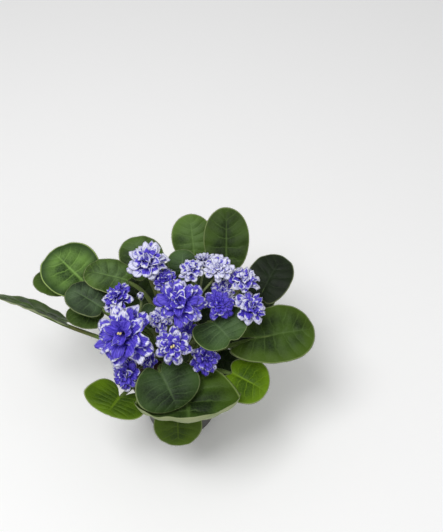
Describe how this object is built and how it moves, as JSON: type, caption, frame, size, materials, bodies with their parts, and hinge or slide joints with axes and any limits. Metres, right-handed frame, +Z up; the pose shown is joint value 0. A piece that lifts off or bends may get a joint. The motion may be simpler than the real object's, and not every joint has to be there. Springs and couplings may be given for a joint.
{
  "type": "potted african violet",
  "caption": "House plant: a rosette of hairy heart-shaped leaves on long petioles, with a dome of ruffled double flowers, growing in soil in a small plastic nursery pot",
  "frame": {"origin": "the middle of the pot's flat underside, on the pot's axis", "axes": "+Z up along the pot's axis, -Y towards the plant's front, where the lowest leaves hang over the rim, +X to the plant's right as seen from the front"},
  "size_m": [0.2721, 0.1913, 0.1829],
  "materials": {
    "pot": "satin",
    "soil": "matte",
    "crown": "matte",
    "leaf": "matte",
    "leaf_dark": "matte",
    "leaf_pale": "matte",
    "stalk": "matte",
    "petal": "matte",
    "bud": "matte"
  },
  "bodies": {
    "root": {"pot": "pot", "soil": "soil", "crown": "crown", "leaf_left_rear_large": "leaf", "leaf_left_rear_inner": "leaf", "leaf_left_middle": "leaf_dark", "leaf_left_small": "leaf", "leaf_left_folded": "leaf", "leaf_left_outer": "leaf", "leaf_young_left": "leaf_dark", "leaf_rear_small": "leaf_dark", "leaf_rear_left": "leaf", "leaf_rear_round": "leaf", "leaf_rear_tall": "leaf", "leaf_right_rear": "leaf_dark", "leaf_right_shaded": "leaf", "leaf_right_large": "leaf", "leaf_right_inner": "leaf_dark", "leaf_front_right_pale": "leaf_pale", "leaf_front_broad": "leaf", "leaf_front_dark": "leaf_dark", "leaf_front_left": "leaf_pale", "leaf_front_low": "leaf_pale", "leaf_rear_low": "leaf", "leaf_rear_right_low": "leaf", "leaf_rear_left_low": "leaf", "leaf_young_front": "leaf_dark", "leaf_young_rear": "leaf_dark", "leaf_inner_rear": "leaf_dark", "leaf_inner_right_rear": "leaf_dark", "leaf_inner_rear_left": "leaf_dark", "leaf_inner_right": "leaf_dark", "stalk_rear_left": "stalk", "stalk_left": "stalk", "stalk_middle": "stalk", "stalk_rear": "stalk", "stalk_right": "stalk", "stalk_front_left": "stalk", "stalk_front_right": "stalk", "flower_rear_left": "petal", "flower_rear_left_low": "petal", "flower_rear": "petal", "flower_rear_white": "petal", "flower_rear_right": "petal", "flower_top": "petal", "flower_right_blue": "petal", "flower_right": "petal", "flower_left_upper": "petal", "flower_left": "petal", "flower_front": "petal", "flower_centre_low": "petal", "flower_centre_right": "petal", "flower_front_low": "petal", "flower_right_low": "petal", "flower_rear_low": "petal", "flower_rear_middle": "petal", "flower_front_inner": "petal", "bud_left": "bud", "bud_rear": "bud", "bud_right": "bud"}
  },
  "joints": []
}
